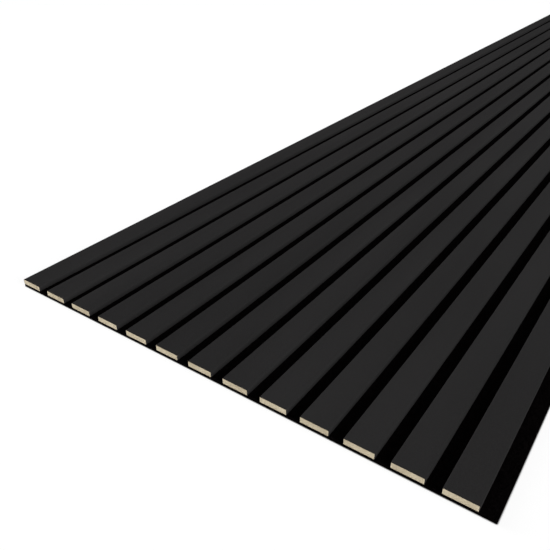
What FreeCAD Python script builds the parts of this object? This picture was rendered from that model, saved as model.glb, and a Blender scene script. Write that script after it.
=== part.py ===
import FreeCAD, Part
import math
import os
import Sketcher

# Acoustic slat wall panel: straight MDF slats in a black decor wrap, glued side by side on
# one black felt board. The first slat is flush with the board's left edge, and past the last
# one the board runs on by one bare groove, so that the next panel butts on in the same rhythm.
#
# Millimetres. The origin is the middle of the board's back face. +X runs across the slats
# towards the bare strip, +Y runs along the slats, and +Z points out of the slatted face.

# Driving dimensions: alias, value, meaning.
SIZES = [
    ("panel_length", 2400, "board and slats, end to end"),
    ("slat_count", 13, "slats on one board"),
    ("slat_width", 27, "one slat, measured over its wrap"),
    ("groove_width", 13, "felt between two slats, and bare at the right edge"),
    ("felt_thickness", 3, "felt board"),
    ("core_thickness", 5.5, "MDF core, without its wrap"),
    ("core_edge_radius", 0.5, "rounded top edges of the core"),
    ("wrap_thickness", 0.3, "decor wrap with its glue"),
]

# Expressions that several pieces share. Their names are the cells' aliases.
PITCH = "(sizes.slat_width + sizes.groove_width)"
BOARD_WIDTH = f"(round(sizes.slat_count) * {PITCH})"
CORE_WIDTH = "(sizes.slat_width - 2 * sizes.wrap_thickness)"
SLAT_HEIGHT = "(sizes.core_thickness + sizes.wrap_thickness)"
WRAP_RADIUS = "(sizes.core_edge_radius + sizes.wrap_thickness)"

# How a sketch refers to its own origin and axes.
SKETCH = {"origin": (-1, 1), "across": -1, "upright": -2}

# Directions on a circle, as angles from +X.
COMPASS = {"east": 0, "north": math.pi / 2, "west": math.pi}


def make_sizes(doc):
    """The sheet of driving dimensions, one row each."""
    sheet = doc.addObject("Spreadsheet::Sheet", "sizes")
    for row, (alias, value, meaning) in enumerate(SIZES, start=1):
        sheet.set(f"A{row}", alias)
        sheet.set(f"B{row}", str(value))
        sheet.set(f"C{row}", meaning)
        sheet.setAlias(f"B{row}", alias)
    doc.recompute()
    return sheet


def new_body(doc, label):
    body = doc.addObject("PartDesign::Body", label)
    body.Label = label
    return body


def new_sketch(body, plane_role):
    """A sketch on one of the body's own origin planes."""
    plane = next(item for item in body.Origin.OriginFeatures if item.Role == plane_role)
    sketch = body.newObject("Sketcher::SketchObject", f"{body.Label}_sketch")
    sketch.AttachmentSupport = [(plane, "")]
    sketch.MapMode = "FlatFace"
    return sketch


def drive(sketch, name, kind, places, expression):
    """Adds a dimension under a name of its own and binds it to the sheet."""
    value = sketch.evalExpression(expression)
    index = sketch.addConstraint(Sketcher.Constraint(kind, *places, value))
    sketch.renameConstraint(index, name)
    sketch.setExpression(f"Constraints.{name}", expression)


def start(edge):
    """The first point of a sketched edge, as a constraint names it."""
    return edge, 1


def end(edge):
    """The last point of a sketched edge, as a constraint names it."""
    return edge, 2


def draw_line(sketch, first, last):
    return sketch.addGeometry(Part.LineSegment(FreeCAD.Vector(*first), FreeCAD.Vector(*last)))


def draw_arc(sketch, centre, radius, first, last):
    """An arc from one direction to the next, counterclockwise, such as east to north."""
    circle = Part.Circle(FreeCAD.Vector(*centre), FreeCAD.Vector(0, 0, 1), radius)
    return sketch.addGeometry(Part.ArcOfCircle(circle, COMPASS[first], COMPASS[last]))


def draw_arch(sketch, name, width, height, radius):
    """An open outline that stands on the sketch's base line: side, corner, top, corner, side.

    Width, height and radius are expressions. Returns the left and the right side, whose feet
    are left open.
    """
    half = sketch.evalExpression(width) / 2
    rise = sketch.evalExpression(height)
    bend = sketch.evalExpression(radius)
    shoulder = half - bend
    spring = rise - bend
    left = draw_line(sketch, (-half, 0), (-half, spring))
    left_corner = draw_arc(sketch, (-shoulder, spring), bend, "north", "west")
    top = draw_line(sketch, (-shoulder, rise), (shoulder, rise))
    right_corner = draw_arc(sketch, (shoulder, spring), bend, "east", "north")
    right = draw_line(sketch, (half, spring), (half, 0))
    for kind, *places in (
        ("Tangent", *end(left), *end(left_corner)),
        ("Tangent", *start(left_corner), *start(top)),
        ("Tangent", *end(top), *end(right_corner)),
        ("Tangent", *start(right_corner), *start(right)),
        ("Vertical", left),
        ("Vertical", right),
        ("Horizontal", top),
        ("Equal", left_corner, right_corner),
        ("PointOnObject", *start(left), SKETCH["across"]),
        ("Symmetric", *start(left), *end(right), SKETCH["upright"]),
    ):
        sketch.addConstraint(Sketcher.Constraint(kind, *places))
    drive(sketch, f"{name}_width", "DistanceX", (*start(left), *end(right)), width)
    drive(sketch, f"{name}_height", "DistanceY", (*start(left), *start(top)), height)
    drive(sketch, f"{name}_radius", "Radius", (left_corner,), radius)
    return left, right


def close_feet(sketch, first, last):
    """A straight line between two open feet."""
    foot = draw_line(sketch, sketch.getPoint(*first), sketch.getPoint(*last))
    sketch.addConstraint(Sketcher.Constraint("Coincident", *start(foot), *first))
    sketch.addConstraint(Sketcher.Constraint("Coincident", *end(foot), *last))


def pad_profile(body, sketch, length, side_type):
    """Pads the sketch to a solid, to one side of its plane or evenly to both."""
    pad = body.newObject("PartDesign::Pad", f"{body.Label}_pad")
    pad.Profile = sketch
    pad.SideType = side_type
    pad.setExpression("Length", length)
    sketch.Visibility = False


def make_felt_backing(doc):
    """The felt board that carries every slat."""
    body = new_body(doc, "felt_backing")
    sketch = new_sketch(body, "XY_Plane")
    x = sketch.evalExpression(BOARD_WIDTH) / 2
    y = sketch.evalExpression("sizes.panel_length") / 2
    corners = [(-x, -y), (x, -y), (x, y), (-x, y)]
    near, right, far, left = (
        draw_line(sketch, corners[i], corners[(i + 1) % 4]) for i in range(4)
    )
    for kind, *places in (
        ("Coincident", *end(near), *start(right)),
        ("Coincident", *end(right), *start(far)),
        ("Coincident", *end(far), *start(left)),
        ("Coincident", *end(left), *start(near)),
        ("Horizontal", near),
        ("Horizontal", far),
        ("Vertical", right),
        ("Vertical", left),
        ("Symmetric", *start(near), *start(far), *SKETCH["origin"]),
    ):
        sketch.addConstraint(Sketcher.Constraint(kind, *places))
    drive(sketch, "board_width", "DistanceX", (*start(near), *end(near)), BOARD_WIDTH)
    drive(sketch, "board_length", "DistanceY", (*start(right), *end(right)), "sizes.panel_length")
    pad_profile(body, sketch, "sizes.felt_thickness", "One side")
    return body


def seat_on_board(body, index):
    """Puts a slat's piece on the felt: the first slat is flush with the board's left edge."""
    centre = f"sizes.slat_width / 2 - {BOARD_WIDTH} / 2 + {index} * {PITCH}"
    body.setExpression("Placement.Base.x", centre)
    body.setExpression("Placement.Base.z", "sizes.felt_thickness")


def make_core(doc, index):
    """One MDF core: a flat strip with two rounded top edges, cut square at both ends."""
    body = new_body(doc, f"slat_core_{index + 1:02d}")
    sketch = new_sketch(body, "XZ_Plane")
    left, right = draw_arch(
        sketch, "core", CORE_WIDTH, "sizes.core_thickness", "sizes.core_edge_radius"
    )
    close_feet(sketch, end(right), start(left))
    pad_profile(body, sketch, "sizes.panel_length", "Symmetric")
    seat_on_board(body, index)
    return body


def make_wrap(doc, index):
    """One decor wrap: a thin channel folded over the core's face and both its long sides.

    Its outer corners share their centres with the core's, so the wrap is as thick round the
    corner as on the flat. It ends where the core meets the felt, and it is open at both ends.
    """
    body = new_body(doc, f"slat_wrap_{index + 1:02d}")
    sketch = new_sketch(body, "XZ_Plane")
    outer_left, outer_right = draw_arch(
        sketch, "outer", "sizes.slat_width", SLAT_HEIGHT, WRAP_RADIUS
    )
    inner_left, inner_right = draw_arch(
        sketch, "inner", CORE_WIDTH, "sizes.core_thickness", "sizes.core_edge_radius"
    )
    close_feet(sketch, start(inner_left), start(outer_left))
    close_feet(sketch, end(outer_right), end(inner_right))
    pad_profile(body, sketch, "sizes.panel_length", "Symmetric")
    seat_on_board(body, index)
    return body


def check_model(doc, bodies):
    """Stops if any feature failed, a sketch can still slide, or a piece isn't one good solid."""
    for item in doc.Objects:
        if {"Invalid", "Error"} & set(item.State):
            raise RuntimeError(f"{item.Label} did not compute: {item.State}")
        if item.TypeId == "Sketcher::SketchObject" and not item.FullyConstrained:
            raise RuntimeError(f"{item.Label} is not fully constrained")
    for body in bodies:
        shape = body.Shape
        if shape.isNull() or not shape.isValid() or len(shape.Solids) != 1:
            raise RuntimeError(f"{body.Label} is not one valid solid")


def main():
    os.makedirs("parts", exist_ok=True)
    doc = FreeCAD.newDocument("acoustic_slat_panel")
    sheet = make_sizes(doc)
    bodies = [make_felt_backing(doc)]
    for index in range(round(sheet.slat_count)):
        bodies.append(make_core(doc, index))
        bodies.append(make_wrap(doc, index))
    doc.recompute()
    check_model(doc, bodies)
    for body in bodies:
        body.Shape.exportStep(f"parts/{body.Label}.step")
        box = body.Shape.BoundBox
        print(f"{body.Label}: {box.XMin:.2f} to {box.XMax:.2f}, top {box.ZMax:.2f}")


main()
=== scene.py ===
# %% [markdown]
# # An acoustic slat wall panel
#
# This notebook dresses one wall panel: thirteen straight MDF slats in a matt black film, glued
# side by side on a black felt board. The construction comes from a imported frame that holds
# every piece at its real size, in metres. The origin is the middle of the felt's back, X runs
# across the slats, Y runs along them and Z points out of the slatted face.

# %% Load the frame
import math

import bmesh
import bpy
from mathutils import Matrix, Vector, noise


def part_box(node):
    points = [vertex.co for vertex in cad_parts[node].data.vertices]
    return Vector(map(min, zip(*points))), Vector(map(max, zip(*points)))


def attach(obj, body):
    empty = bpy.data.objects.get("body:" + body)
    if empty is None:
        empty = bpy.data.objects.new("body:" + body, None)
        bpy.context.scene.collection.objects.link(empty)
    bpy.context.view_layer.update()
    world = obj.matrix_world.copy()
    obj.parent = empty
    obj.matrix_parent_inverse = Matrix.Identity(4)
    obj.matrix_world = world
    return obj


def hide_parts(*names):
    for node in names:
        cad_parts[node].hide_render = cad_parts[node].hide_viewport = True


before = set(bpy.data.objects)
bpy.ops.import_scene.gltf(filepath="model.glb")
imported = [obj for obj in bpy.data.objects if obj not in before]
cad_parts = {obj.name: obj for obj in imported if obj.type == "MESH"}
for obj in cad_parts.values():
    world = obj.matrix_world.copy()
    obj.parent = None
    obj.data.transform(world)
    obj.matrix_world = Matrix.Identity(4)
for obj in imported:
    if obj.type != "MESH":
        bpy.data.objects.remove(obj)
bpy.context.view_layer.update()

slat_count = sum(name.startswith("slat_core_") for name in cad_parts)

# %% [markdown]
# ## Sizes in a maker's words
#
# A panel maker thinks in millimetres, and so does this notebook, while Blender's unit is the
# metre. The sizes that the frame holds are read from it and never typed again. Only what its
# boxes can't tell, such as the rounding of an edge, is a number of our own.

# %% Millimetres and the boxes of the pieces
MM = 0.001


def node_box(node):
    """The lowest and highest corner of a node, as vectors."""
    low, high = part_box(node)
    return Vector(low), Vector(high)


board_low, board_high = node_box("felt_backing")
core_low, core_high = node_box("slat_core_01")
wrap_low, wrap_high = node_box("slat_wrap_01")
next_core_low, _ = node_box("slat_core_02")
WRAP_THICKNESS = core_low.x - wrap_low.x
SLAT_WIDTH = wrap_high.x - wrap_low.x
PITCH = next_core_low.x - core_low.x
GROOVE = PITCH - SLAT_WIDTH
CORE_EDGE_RADIUS = 0.5 * MM
print(f"slat {SLAT_WIDTH / MM:.1f} mm, groove {GROOVE / MM:.1f} mm")
print(f"wrap {WRAP_THICKNESS / MM:.2f} mm thick")

# %% [markdown]
# ## Nodes written as code
#
# A procedural material is a chain of nodes: coordinates go into noises, a ramp turns a noise
# into colours, and the shader takes the colours. Such a chain is easy to wire in the editor
# and hard to repeat, so it is written down here. One helper makes a node and sets it, and one
# links two sockets by name. All patterns read Object coordinates. The pieces sit at the origin
# at their real size, so a pattern that is sized in metres lies still on the piece.

# %% Making and linking nodes


def add_node(tree, kind, **inputs):
    """A new shader node. Keywords with a capital set its inputs, the others its settings."""
    node = tree.nodes.new(kind)
    for key, value in inputs.items():
        if key[0].isupper():
            node.inputs[key.replace("_", " ")].default_value = value
        else:
            setattr(node, key, value)
    return node


def link(tree, source, output, target, entry):
    tree.links.new(source.outputs[output], target.inputs[entry])


# %% A material and its Object coordinates


def new_material(name):
    """A material with its tree, its Principled shader and a Texture Coordinate node."""
    material = bpy.data.materials.new(name)
    material.use_nodes = True
    tree = material.node_tree
    shader = tree.nodes["Principled BSDF"]
    coordinates = add_node(tree, "ShaderNodeTexCoord")
    return material, tree, shader, coordinates


def scaled(tree, coordinates, scale=(1.0, 1.0, 1.0)):
    """Object coordinates times a factor for each axis: under 1, a pattern is drawn out."""
    mapping = add_node(tree, "ShaderNodeMapping", Scale=scale)
    link(tree, coordinates, "Object", mapping, "Vector")
    return mapping


def set_gloss(shader, roughness, specular):
    """Sets a gloss that is the same all over, on the shader's own sockets."""
    shader.inputs["Roughness"].default_value = roughness
    shader.inputs["Specular IOR Level"].default_value = specular


# %% Noise, tones and sums


def speckle(tree, source, size, detail=3.0, roughness=0.55):
    """A noise whose spots are about size across, in metres. It reads a mapping."""
    texture = add_node(
        tree, "ShaderNodeTexNoise", Scale=1 / size, Detail=detail, Roughness=roughness
    )
    link(tree, source, "Vector", texture, "Vector")
    return texture


def ramp(tree, source, output, stops):
    """A colour ramp with (place, colour) stops. A new ramp has two, one at each end."""
    node = add_node(tree, "ShaderNodeValToRGB")
    elements = node.color_ramp.elements
    for place, _ in stops[1:-1]:
        elements.new(place)
    for element, (place, colour) in zip(elements, stops):
        element.position = place
        element.color = (*colour, 1)
    link(tree, source, output, node, "Fac")
    return node


def mixed(tree, first, second, share):
    """Two grey values, with a share of the second. Each is a node and its output's name."""
    node = add_node(tree, "ShaderNodeMix", Factor=share)
    link(tree, *first, node, "A")
    link(tree, *second, node, "B")
    return node


def larger(tree, first, second):
    """The larger of two values. Each is a node and its output's name."""
    node = add_node(tree, "ShaderNodeMath", operation="MAXIMUM")
    link(tree, *first, node, 0)
    link(tree, *second, node, 1)
    return node


def distance_from(tree, source, output, middle):
    """How far a value is from a middle, above or below it."""
    difference = add_node(tree, "ShaderNodeMath", operation="SUBTRACT")
    difference.inputs[1].default_value = middle
    link(tree, source, output, difference, 0)
    distance = add_node(tree, "ShaderNodeMath", operation="ABSOLUTE")
    link(tree, difference, "Value", distance, 0)
    return distance


# %% Relief


def relief(tree, source, output, depth, shader, below=None):
    """A bump of a real depth in metres, on top of another bump if one is given."""
    bump = add_node(tree, "ShaderNodeBump", Strength=1.0, Distance=depth)
    link(tree, source, output, bump, "Height")
    if below:
        link(tree, below, "Normal", bump, "Normal")
    link(tree, bump, "Normal", shader, "Normal")
    return bump


# %% [markdown]
# ## The black film
#
# The slats wear a decor film with a dead matt top coat, nearly black and hardly mirroring
# anything. A picture texture could show that, but it would blur close up, while noise stays
# sharp at any distance. Two noises are enough: a wide, faint drift of tone, drawn out along the
# slat, and the fine grain of half a millimetre that a roller presses into such film. The grain
# goes to the relief, to the roughness and, faintly, to the tone. A noise seldom leaves its
# middle values, so the roughness is spread over those alone.

# %% Material: matt black film
FILM_TONES = [(0.40, (0.0162, 0.0158, 0.0160)), (0.60, (0.0218, 0.0213, 0.0215))]
FILM_DRIFT = 70 * MM
DRIFT_SCALE = (1.0, 0.15, 1.0)
FILM_GRAIN = 0.53 * MM
GRAIN_SHARE = 0.65
GRAIN_DEPTH = 0.15 * MM
SMOOTHEST_FILM = 0.62
ROUGHEST_FILM = 0.74
GRAIN_LOW = 0.3
GRAIN_HIGH = 0.7
FILM_SPECULAR = 0.0005


def make_film_material():
    material, tree, shader, coordinates = new_material("matt_black_film")
    plain = scaled(tree, coordinates)
    drawn_out = scaled(tree, coordinates, DRIFT_SCALE)
    drift = speckle(tree, drawn_out, FILM_DRIFT, detail=2.0)
    grain = speckle(tree, plain, FILM_GRAIN, detail=2.0)
    blend = mixed(tree, (drift, "Fac"), (grain, "Fac"), GRAIN_SHARE)
    tone = ramp(tree, blend, "Result", FILM_TONES)
    link(tree, tone, "Color", shader, "Base Color")
    sheen = add_node(
        tree,
        "ShaderNodeMapRange",
        From_Min=GRAIN_LOW,
        From_Max=GRAIN_HIGH,
        To_Min=SMOOTHEST_FILM,
        To_Max=ROUGHEST_FILM,
    )
    link(tree, grain, "Fac", sheen, "Value")
    link(tree, sheen, "Result", shader, "Roughness")
    relief(tree, grain, "Fac", GRAIN_DEPTH, shader)
    shader.inputs["Specular IOR Level"].default_value = FILM_SPECULAR
    return material


film_material = make_film_material()
print(film_material.name, len(film_material.node_tree.nodes), "nodes")

# %% [markdown]
# ## The sawn MDF
#
# The bare ends show what the slats are made of: wood fibres pressed flat, so they lie across
# the end as short fine lines. Between them sit paler and darker flecks, the saw leaves faint
# upright marks, and no two slats have quite the same tone. Each of the four is a noise of its
# own size. Those of the fibres and the saw marks are drawn out, each its own way. All four are
# mixed before one ramp gives them their colours.

# %% The texture of the sawn ends
FIBRE = 0.29 * MM
FIBRE_SCALE = (0.25, 0.25, 1.0)
FLECK = 0.48 * MM
FLECK_SHARE = 0.35
SAW_MARK = 0.67 * MM
SAW_SCALE = (1.0, 0.05, 0.06)
SAW_SHARE = 0.12
MOTTLE = 17 * MM
MOTTLE_SHARE = 0.28


def sawn_texture(tree, coordinates):
    """The fibres with flecks and saw marks, once as relief and once mottled for the tone."""
    plain = scaled(tree, coordinates)
    lying = scaled(tree, coordinates, FIBRE_SCALE)
    upright = scaled(tree, coordinates, SAW_SCALE)
    fibres = speckle(tree, lying, FIBRE, detail=5.0, roughness=0.70)
    flecks = speckle(tree, plain, FLECK, detail=3.0, roughness=0.60)
    marks = speckle(tree, upright, SAW_MARK, detail=1.0)
    mottling = speckle(tree, plain, MOTTLE, detail=2.0)
    flecked = mixed(tree, (fibres, "Fac"), (flecks, "Fac"), FLECK_SHARE)
    sawn = mixed(tree, (flecked, "Result"), (marks, "Fac"), SAW_SHARE)
    mottled = mixed(tree, (sawn, "Result"), (mottling, "Fac"), MOTTLE_SHARE)
    return sawn, mottled


# %% [markdown]
# Pressing makes the board denser and darker near its two faces and loose in the middle. That
# depends on height alone, so the Z coordinate gives it: none in the middle, and a share that
# grows from about halfway out to the skins.

# %% The denser skins
SKIN_START = 0.55
SKIN_SHARE = 0.3


def dense_share(tree, coordinates):
    """How much of the dense tone there is, by the distance from the core's middle plane."""
    middle = (core_low.z + core_high.z) / 2
    half = (core_high.z - core_low.z) / 2
    position = add_node(tree, "ShaderNodeSeparateXYZ")
    link(tree, coordinates, "Object", position, "Vector")
    height = distance_from(tree, position, "Z", middle)
    skin = add_node(
        tree,
        "ShaderNodeMapRange",
        From_Min=SKIN_START * half,
        From_Max=half,
        To_Min=0.0,
        To_Max=SKIN_SHARE,
    )
    link(tree, height, "Value", skin, "Value")
    return skin


def tinted(tree, tone, share, output, colour):
    """A ramp's colours, turned into one colour by a share. Returns the output socket."""
    node = add_node(tree, "ShaderNodeMix", data_type="RGBA")
    link(tree, share, output, node, "Factor")
    first, second = (entry for entry in node.inputs if entry.type == "RGBA")
    tree.links.new(tone.outputs["Color"], first)
    second.default_value = (*colour, 1)
    return next(entry for entry in node.outputs if entry.type == "RGBA")


# %% Material: sawn MDF
MDF_DENSE = (0.341, 0.281, 0.191)
MDF_TONES = [(0.36, MDF_DENSE), (0.50, (0.481, 0.413, 0.292)), (0.64, (0.611, 0.540, 0.407))]
MDF_ROUGHNESS = 0.9
MDF_SPECULAR = 0.2
FIBRE_DEPTH = 0.15 * MM


def make_mdf_material():
    material, tree, shader, coordinates = new_material("sawn_mdf")
    sawn, mottled = sawn_texture(tree, coordinates)
    tone = ramp(tree, mottled, "Result", MDF_TONES)
    colour = tinted(tree, tone, dense_share(tree, coordinates), "Result", MDF_DENSE)
    tree.links.new(colour, shader.inputs["Base Color"])
    set_gloss(shader, MDF_ROUGHNESS, MDF_SPECULAR)
    relief(tree, sawn, "Result", FIBRE_DEPTH, shader)
    return material


mdf_material = make_mdf_material()
print(mdf_material.name, len(mdf_material.node_tree.nodes), "nodes")

# %% [markdown]
# ## The felt
#
# Needled felt is a mat of black polyester fibres that run every way. Particles could grow real
# fibres, but there would be millions. A thread can be drawn from plain noise instead: its value
# passes through the middle along thin winding lines, and only those lines are kept. Two such
# layers of different fineness cross each other, over a third, wider noise for the tufts that
# the needles leave. The felt drinks nearly all the light, so its colours are close to black,
# and it has no gloss.

# %% Threads from noise
NOISE_MIDDLE = 0.5


def threads(tree, source, size, width):
    """Winding lines, one along a line's middle and zero beside it."""
    waves = speckle(tree, source, size, detail=1.0)
    distance = distance_from(tree, waves, "Fac", NOISE_MIDDLE)
    line = add_node(
        tree, "ShaderNodeMapRange", From_Min=0.0, From_Max=width, To_Min=1.0, To_Max=0.0
    )
    link(tree, distance, "Value", line, "Value")
    return line


# %% Material: black felt
FELT_TONES = [(0.35, (0.0003, 0.0002, 0.0002)), (0.65, (0.0008, 0.0006, 0.0006))]
FELT_THREAD = (0.0058, 0.0045, 0.0047)
COARSE_THREADS = 1.9 * MM
COARSE_WIDTH = 0.030
FINE_THREADS = 1.1 * MM
FINE_WIDTH = 0.035
FINE_SHIFT = (3, 5, 7)
FINE_TURN = (0.4, 0.3, 0.9)
TUFT = 6.2 * MM
TUFT_DEPTH = 0.6 * MM
THREAD_DEPTH = 0.15 * MM


def make_felt_material():
    material, tree, shader, coordinates = new_material("black_felt")
    plain = scaled(tree, coordinates)
    slanted = add_node(tree, "ShaderNodeMapping", Location=FINE_SHIFT, Rotation=FINE_TURN)
    link(tree, coordinates, "Object", slanted, "Vector")
    coarse = threads(tree, plain, COARSE_THREADS, COARSE_WIDTH)
    fine = threads(tree, slanted, FINE_THREADS, FINE_WIDTH)
    mat = larger(tree, (coarse, "Result"), (fine, "Result"))
    tufts = speckle(tree, plain, TUFT, detail=3.0)
    ground = ramp(tree, tufts, "Fac", FELT_TONES)
    colour = tinted(tree, ground, mat, "Value", FELT_THREAD)
    tree.links.new(colour, shader.inputs["Base Color"])
    set_gloss(shader, roughness=1.0, specular=0.0)
    cloud = relief(tree, tufts, "Fac", TUFT_DEPTH, shader)
    relief(tree, mat, "Value", THREAD_DEPTH, shader, below=cloud)
    return material


felt_material = make_felt_material()
print(felt_material.name, len(felt_material.node_tree.nodes), "nodes")

# %% [markdown]
# ## From a block to a piece
#
# Every piece starts as a cube from `bmesh.ops.create_cube`, stretched over the piece's box, and
# is then cut and shaped. Stretching the vertices, and not the object, keeps the object at the
# origin, unturned and unscaled. A finished piece rides on the frame, stands for its node there,
# and names the slot that its finish comes from. A mesh that is inside out has a negative
# volume, so the script stops if one turns up. Blender's own noise makes sawn and soft shapes
# uneven. It is the same on each run, so nothing here is random.

# %% The first block, an uneven share and the finished piece
SHARP_ANGLE = math.radians(30)


def block(low, high):
    """A bmesh box between two corners."""
    bm = bmesh.new()
    bmesh.ops.create_cube(bm, size=1)
    bmesh.ops.scale(bm, vec=high - low, verts=bm.verts)
    bmesh.ops.translate(bm, vec=(low + high) / 2, verts=bm.verts)
    return bm


def uneven_share(place, size):
    """A share from zero to one that changes over about size, in metres."""
    return 0.5 + 0.5 * noise.noise(place / size)


def finish_piece(bm, name, node, material):
    """Turns a bmesh into the piece that stands for a node."""
    bm.normal_update()
    if bm.calc_volume(signed=True) <= 0:
        raise RuntimeError(f"{name} is inside out")
    mesh = bpy.data.meshes.new(name)
    bm.to_mesh(mesh)
    bm.free()
    mesh.shade_smooth()
    mesh.set_sharp_from_angle(angle=SHARP_ANGLE)
    mesh.materials.append(material)
    piece = bpy.data.objects.new(name, mesh)
    bpy.context.scene.collection.objects.link(piece)
    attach(piece, "root")
    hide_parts(node)
    return piece


# %% [markdown]
# ## Modelling a wrap
#
# A wrap is film folded over the core. It could be three thin plates, but the fold is what
# catches the light, so its skin is made in one go: a block with no bottom and no ends, whose
# two long top edges are rounded. Solidify then gives the skin the film's thickness inwards,
# down to the core, which leaves an inner corner with the same centre and a smaller radius. A
# weighted normal keeps the wide flat face flat beside the narrow rounding.
#
# Blender counts its axes X, Y and Z from 0, so they are named here for what they are on the
# panel. Edges and faces are found by the way they run or look: the cosine of two directions is
# one where they are the same. What lies within a millimetre of an end or a top belongs to it.

# %% Finding edges and faces, and rounding the top
ACROSS, ALONG, UP = 0, 1, 2
SAME_WAY = 0.999
CLOSE = 1.0 * MM


def edges_along(bm, axis):
    """The edges that run along one axis."""
    found = []
    for edge in bm.edges:
        run = edge.verts[1].co - edge.verts[0].co
        if abs(run[axis]) > SAME_WAY * run.length:
            found.append(edge)
    return found


def faces_looking(bm, direction):
    bm.normal_update()
    return [face for face in bm.faces if face.normal.dot(Vector(direction)) > SAME_WAY]


def bevelled(bm, edges, radius, segments):
    """Rounds some edges with a radius."""
    bmesh.ops.bevel(
        bm,
        geom=edges,
        offset=radius,
        offset_type="OFFSET",
        segments=segments,
        profile=0.5,
        affect="EDGES",
        material=-1,
    )


# %% [markdown]
# The saw that cuts the panel to length nibbles the film's edge a little. The skin gets lines
# every 1.5 mm across, so that each end has points to move. A noise moves them inwards only, so
# the wrap keeps the length that the frame gives it. A cut is told which faces, edges and points
# it may touch, and a set holds each of them once.

# %% Lines to shape along, and the film's nibbled ends
FRAY_DEPTH = 0.06 * MM
FRAY_STEP = 1.5 * MM
TOOTH = 0.8 * MM
MERGE_DISTANCE = 0.0001 * MM


def cut_across(bm, faces, axis, place):
    """Cuts some faces with a plane across an axis, and leaves the others whole."""
    normal = Vector((0, 0, 0))
    normal[axis] = 1
    around = set(faces)
    for face in faces:
        around.update(face.edges)
        around.update(face.verts)
    bmesh.ops.bisect_plane(
        bm,
        geom=list(around),
        dist=MERGE_DISTANCE,
        plane_co=normal * place,
        plane_no=normal,
    )


def fray_ends(bm, low, high):
    """Nibbles the film's two sawn ends, inwards only, so that it keeps its length."""
    for vert in bm.verts:
        tooth = uneven_share(vert.co, TOOTH)
        if vert.co.y < low.y + CLOSE:
            vert.co.y += FRAY_DEPTH * tooth
        elif vert.co.y > high.y - CLOSE:
            vert.co.y -= FRAY_DEPTH * tooth


# %% The wraps
UNDERSIDE = (0, 0, -1)
NEAR_END = (0, -1, 0)
FAR_END = (0, 1, 0)
EDGE_SEGMENTS = 8
WRAP_RADIUS = CORE_EDGE_RADIUS + WRAP_THICKNESS


def top_edges(bm, high):
    """The two long edges at the top of a slat's piece."""
    return [edge for edge in edges_along(bm, ALONG) if edge.verts[0].co.z > high.z - CLOSE]


def make_wrap(number):
    node = f"slat_wrap_{number:02d}"
    low, high = node_box(node)
    bm = block(low, high)
    for direction in (UNDERSIDE, FAR_END, NEAR_END):
        bmesh.ops.delete(bm, geom=faces_looking(bm, direction), context="FACES")
    bevelled(bm, top_edges(bm, high), WRAP_RADIUS, EDGE_SEGMENTS)
    steps = round((high.x - low.x) / FRAY_STEP)
    for step in range(1, steps):
        cut_across(bm, bm.faces[:], ACROSS, low.x + step * (high.x - low.x) / steps)
    bmesh.ops.solidify(bm, geom=bm.faces[:], thickness=WRAP_THICKNESS)
    fray_ends(bm, low, high)
    wrap = finish_piece(bm, f"wrap_{number:02d}", node, film_material)
    wrap.modifiers.new("flat stays flat", "WEIGHTED_NORMAL").keep_sharp = True
    return wrap


wraps = [make_wrap(number) for number in range(1, slat_count + 1)]
print(len(wraps), "wraps,", len(wraps[0].data.polygons), "faces each")

# %% [markdown]
# ## Modelling a core
#
# Of a core only its two sawn ends show. The body is one block with two rounded edges, and the
# ends are cut into small cells, whose corners are pushed in a little here and there, as a saw
# leaves them. Cutting only the end faces keeps the long sides whole, so the piece stays light.

# %% The cores
CELL = 0.45 * MM
SAW_DEPTH = 0.10 * MM
PIT = 1.1 * MM


def roughen_end(bm, low, high, side):
    """Cuts one end face into cells and pushes their corners in, as the saw left them."""
    end = high.y if side > 0 else low.y
    for axis in (ACROSS, UP):
        cells = round((high[axis] - low[axis]) / CELL)
        for cell in range(1, cells):
            place = low[axis] + cell * (high[axis] - low[axis]) / cells
            cut_across(bm, faces_looking(bm, (0, side, 0)), axis, place)
    for vert in bm.verts:
        if abs(vert.co.y - end) < CLOSE:
            pit = uneven_share(Vector((vert.co.x, 0, vert.co.z)), PIT)
            vert.co.y -= side * SAW_DEPTH * pit


def make_core(number):
    node = f"slat_core_{number:02d}"
    low, high = node_box(node)
    bm = block(low, high)
    bevelled(bm, top_edges(bm, high), CORE_EDGE_RADIUS, EDGE_SEGMENTS)
    for side in (-1, 1):
        roughen_end(bm, low, high, side)
    return finish_piece(bm, f"core_{number:02d}", node, mdf_material)


cores = [make_core(number) for number in range(1, slat_count + 1)]
print(len(cores), "cores,", len(cores[0].data.polygons), "faces each")

# %% [markdown]
# ## Modelling the felt board
#
# The felt is squeezed where a slat is glued on and swells up a little between two slats. It is
# one block with softened edges, cut by lines along the grooves and by lines across them every
# 12 mm. Where the lines cross in a groove, the top is raised in a low wave, and a noise makes
# the wave uneven along the length.

# %% How the felt swells
SWELL = 0.30 * MM
LEAST_SWELL = 0.5
SWELL_LENGTH = 35 * MM


def swelling(x, y):
    """How far the felt stands up at a place in a groove."""
    across = ((x - board_low.x) % PITCH - SLAT_WIDTH) / GROOVE
    if not 0 < across < 1:
        return 0
    uneven = uneven_share(Vector((x, y, 0)), SWELL_LENGTH)
    share = LEAST_SWELL + (1 - LEAST_SWELL) * uneven
    return SWELL * share * math.sin(math.pi * across)


groove_middle = board_low.x + SLAT_WIDTH + GROOVE / 2
print(f"swelling in the first groove {swelling(groove_middle, 0) / MM:.2f} mm")

# %% The felt board
SOFT_EDGE = 0.20 * MM
SOFT_SEGMENTS = 3
LENGTH_STEP = 12 * MM
GROOVE_LINES = 6
LEVEL_WITHIN = 0.001 * MM


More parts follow.
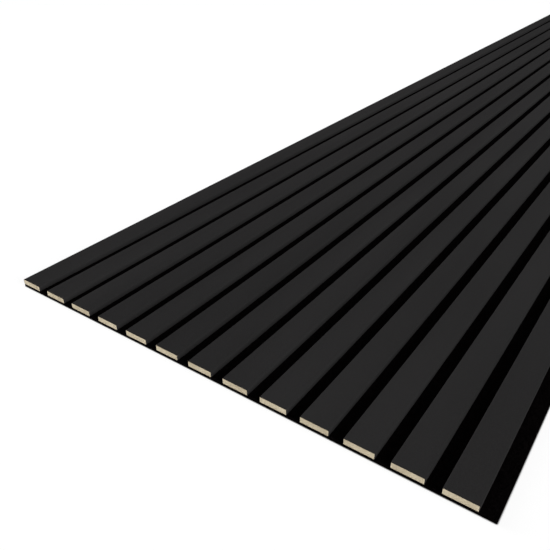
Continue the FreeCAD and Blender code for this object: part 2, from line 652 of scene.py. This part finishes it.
def make_felt():
    bm = block(board_low, board_high)
    bevelled(bm, bm.edges[:], SOFT_EDGE, SOFT_SEGMENTS)
    for groove in range(slat_count):
        left = board_low.x + groove * PITCH + SLAT_WIDTH
        for line in range(GROOVE_LINES + 1):
            place = left + line * GROOVE / GROOVE_LINES
            if place < board_high.x - SOFT_EDGE:
                cut_across(bm, bm.faces[:], ACROSS, place)
    steps = round((board_high.y - board_low.y) / LENGTH_STEP)
    for step in range(1, steps):
        place = board_low.y + step * (board_high.y - board_low.y) / steps
        cut_across(bm, bm.faces[:], ALONG, place)
    for vert in bm.verts:
        if vert.co.z > board_high.z - LEVEL_WITHIN:
            vert.co.z += swelling(vert.co.x, vert.co.y)
    return finish_piece(bm, "felt_board", "felt_backing", felt_material)


felt_board = make_felt()
print("felt board,", len(felt_board.data.polygons), "faces")

# %% [markdown]
# ## Floor and background
#
# A plain white floor carries the panel. A white surface lit to exactly white is hard to hit,
# so the floor shows the camera mostly its own even white, with a part of real light mixed in
# that keeps the panel's soft shadow. The world is white for the camera and for reflections,
# and a dimmer white for everything that it lights. Both need to know who is looking, which the
# Light Path node tells.

# %% Who is looking, and a mix of two shaders


def is_seen_directly(tree):
    """One where the camera, a reflection or a clear material looks, and zero for other rays."""
    path = add_node(tree, "ShaderNodeLightPath")
    either = larger(tree, (path, "Is Camera Ray"), (path, "Is Glossy Ray"))
    return larger(tree, (either, "Value"), (path, "Is Transmission Ray"))


def shader_mix(tree, share, first, second):
    """Mixes two shaders. Each source is a node and the name of its output."""
    mix = add_node(tree, "ShaderNodeMixShader")
    link(tree, *share, mix, 0)
    link(tree, *first, mix, 1)
    link(tree, *second, mix, 2)
    return mix


# %% [markdown]
# The floor lies a hair below the felt's back, because two surfaces in one plane would flicker
# from below. Only its upper side is there: seen from its back it lets everything through, so
# that the panel can be looked at from underneath too.
#
# An even glow would shine right up to the felt, and the panel would seem to float. Real light
# hardly gets into the last millimetre beside a wall. Ambient Occlusion tells how much of the
# sky a spot sees within a short reach, which is half of it at the foot of a wall, so it turns
# the glow down there and nowhere else.

# %% The floor
FLOOR_HALF_SIDE = 12.0
FLOOR_DROP = 0.05 * MM
FLOOR_COLOUR = (0.96, 0.96, 0.96, 1)
FLOOR_GLOW = 0.88
CONTACT_REACH = 1.3 * MM
CONTACT_SAMPLES = 8
SKY_AT_A_WALL = 0.5
WHITE = (1, 1, 1, 1)


def make_floor_material():
    material, tree, shader, _ = new_material("studio_white")
    shader.inputs["Base Color"].default_value = FLOOR_COLOUR
    set_gloss(shader, roughness=1.0, specular=0.0)
    open_sky = add_node(
        tree, "ShaderNodeAmbientOcclusion", samples=CONTACT_SAMPLES, Distance=CONTACT_REACH
    )
    open_floor = add_node(tree, "ShaderNodeMapRange", From_Min=SKY_AT_A_WALL, From_Max=1.0)
    link(tree, open_sky, "AO", open_floor, "Value")
    glow = add_node(tree, "ShaderNodeEmission", Color=WHITE)
    link(tree, open_floor, "Result", glow, "Strength")
    share = add_node(tree, "ShaderNodeMath", operation="MULTIPLY")
    share.inputs[1].default_value = FLOOR_GLOW
    link(tree, is_seen_directly(tree), "Value", share, 0)
    top = shader_mix(tree, (share, "Value"), (shader, "BSDF"), (glow, "Emission"))
    side = add_node(tree, "ShaderNodeNewGeometry")
    nothing = add_node(tree, "ShaderNodeBsdfTransparent")
    both = shader_mix(tree, (side, "Backfacing"), (top, "Shader"), (nothing, "BSDF"))
    link(tree, both, "Shader", tree.nodes["Material Output"], "Surface")
    return material


def make_floor():
    bm = bmesh.new()
    bmesh.ops.create_grid(bm, x_segments=1, y_segments=1, size=FLOOR_HALF_SIDE)
    bmesh.ops.translate(bm, vec=(0, 0, board_low.z - FLOOR_DROP), verts=bm.verts)
    mesh = bpy.data.meshes.new("studio_floor")
    bm.to_mesh(mesh)
    bm.free()
    mesh.materials.append(make_floor_material())
    floor = bpy.data.objects.new("studio_floor", mesh)
    bpy.context.scene.collection.objects.link(floor)
    return floor


floor = make_floor()
print(f"{floor.name}, {2 * FLOOR_HALF_SIDE:.0f} m wide, {FLOOR_DROP / MM:.2f} mm below the felt")

# %% The world
WORLD_LIGHT = 0.20


def make_world():
    world = bpy.data.worlds.new("studio")
    bpy.context.scene.world = world
    world.use_nodes = True
    tree = world.node_tree
    soft = tree.nodes["Background"]
    soft.inputs["Color"].default_value = WHITE
    soft.inputs["Strength"].default_value = WORLD_LIGHT
    white = add_node(tree, "ShaderNodeBackground", Color=WHITE, Strength=1.0)
    share = (is_seen_directly(tree), "Value")
    both = shader_mix(tree, share, (soft, "Background"), (white, "Background"))
    link(tree, both, "Shader", tree.nodes["World Output"], "Surface")
    return world


world = make_world()
print(f"{world.name} world, light {WORLD_LIGHT}")

# %% [markdown]
# ## Lamps
#
# The photo shows even tone over two metres of panel, and slats whose right sides are nearly as
# light as their tops, with no bright line on the edge between. So its light comes from far
# away, low, and from both sides, as in a light tent. Area lamps near the panel would fade along
# the slats. Sun lamps don't fade, and a wide angle makes their shadows as soft as a tent's.
# Each is given as the compass direction that it shines from, counted from +X towards +Y, and
# as its height above the floor. A sun lamp works the same from any place, so its distance only
# keeps it in reach.

# %% Far lamps
# name, compass degrees, height degrees, angular size degrees, strength
FAR_LAMPS = [
    ("right_lamp", 0, 22, 28, 3.15),
    ("left_lamp", 180, 15, 24, 4.40),
    ("front_lamp", -90, 20, 30, 1.15),
]
LAMP_DISTANCE = 3.0


def far_lamp(name, compass, height, width, strength):
    """A sun lamp that shines towards the panel from a direction."""
    data = bpy.data.lights.new(name, "SUN")
    data.energy = strength
    data.angle = math.radians(width)
    lamp = bpy.data.objects.new(name, data)
    compass, height = math.radians(compass), math.radians(height)
    away = Vector((
        math.cos(height) * math.cos(compass),
        math.cos(height) * math.sin(compass),
        math.sin(height),
    ))
    lamp.location = away * LAMP_DISTANCE
    lamp.rotation_euler = away.to_track_quat("Z", "Y").to_euler()
    bpy.context.scene.collection.objects.link(lamp)
    return lamp


far_lamps = [far_lamp(*row) for row in FAR_LAMPS]
print(", ".join(lamp.name for lamp in far_lamps))

# %% [markdown]
# The slats also grow a little lighter away from the near end. One square lamp hangs over the
# panel for that, and it is the only near one. Blender measures an area lamp's strength in
# watts, for the lamp as a whole.

# %% The overhead lamp
OVERHEAD_PLACE = (0.0, -0.35, 1.0)
OVERHEAD_SIDE = 0.8
OVERHEAD_WATTS = 2.4


def make_overhead_lamp():
    """A square lamp that shines straight down, as area lamps do when unturned."""
    data = bpy.data.lights.new("overhead_lamp", "AREA")
    data.shape = "SQUARE"
    data.size = OVERHEAD_SIDE
    data.energy = OVERHEAD_WATTS
    lamp = bpy.data.objects.new("overhead_lamp", data)
    lamp.location = OVERHEAD_PLACE
    bpy.context.scene.collection.objects.link(lamp)
    return lamp


overhead_lamp = make_overhead_lamp()
print(f"{overhead_lamp.name}, {OVERHEAD_WATTS} W")

# %% [markdown]
# ## Camera
#
# The photo was measured: its lines along the slats meet above it and to the right, and those
# across them just as high, far to the left. The one camera that explains both stands a step
# off the near right corner, 36 cm up, and looks down over the slats, turned to the left.

# %% The camera
CAMERA_PLACE = (0.28685, -1.49913, 0.35987)
CAMERA_TURN = (58.272, 0.046, 35.159)
FOCAL_PIXELS = 604.96
PICTURE_PIXELS = 550
SENSOR_WIDTH = 36.0
CLIP_NEAR = 0.01
CLIP_FAR = 100


def make_camera():
    data = bpy.data.cameras.new("camera")
    data.sensor_width = SENSOR_WIDTH
    data.lens = FOCAL_PIXELS / PICTURE_PIXELS * SENSOR_WIDTH
    data.clip_start = CLIP_NEAR
    data.clip_end = CLIP_FAR
    camera = bpy.data.objects.new("camera", data)
    camera.location = CAMERA_PLACE
    camera.rotation_euler = [math.radians(turn) for turn in CAMERA_TURN]
    bpy.context.scene.collection.objects.link(camera)
    bpy.context.scene.camera = camera
    return camera


camera = make_camera()
print(f"camera lens {camera.data.lens:.2f} mm")

# %% [markdown]
# ## Colours as written
#
# The Standard view shows each colour as its material states it, where the default would grade
# it.

# %% Picture settings
bpy.context.scene.view_settings.view_transform = "Standard"
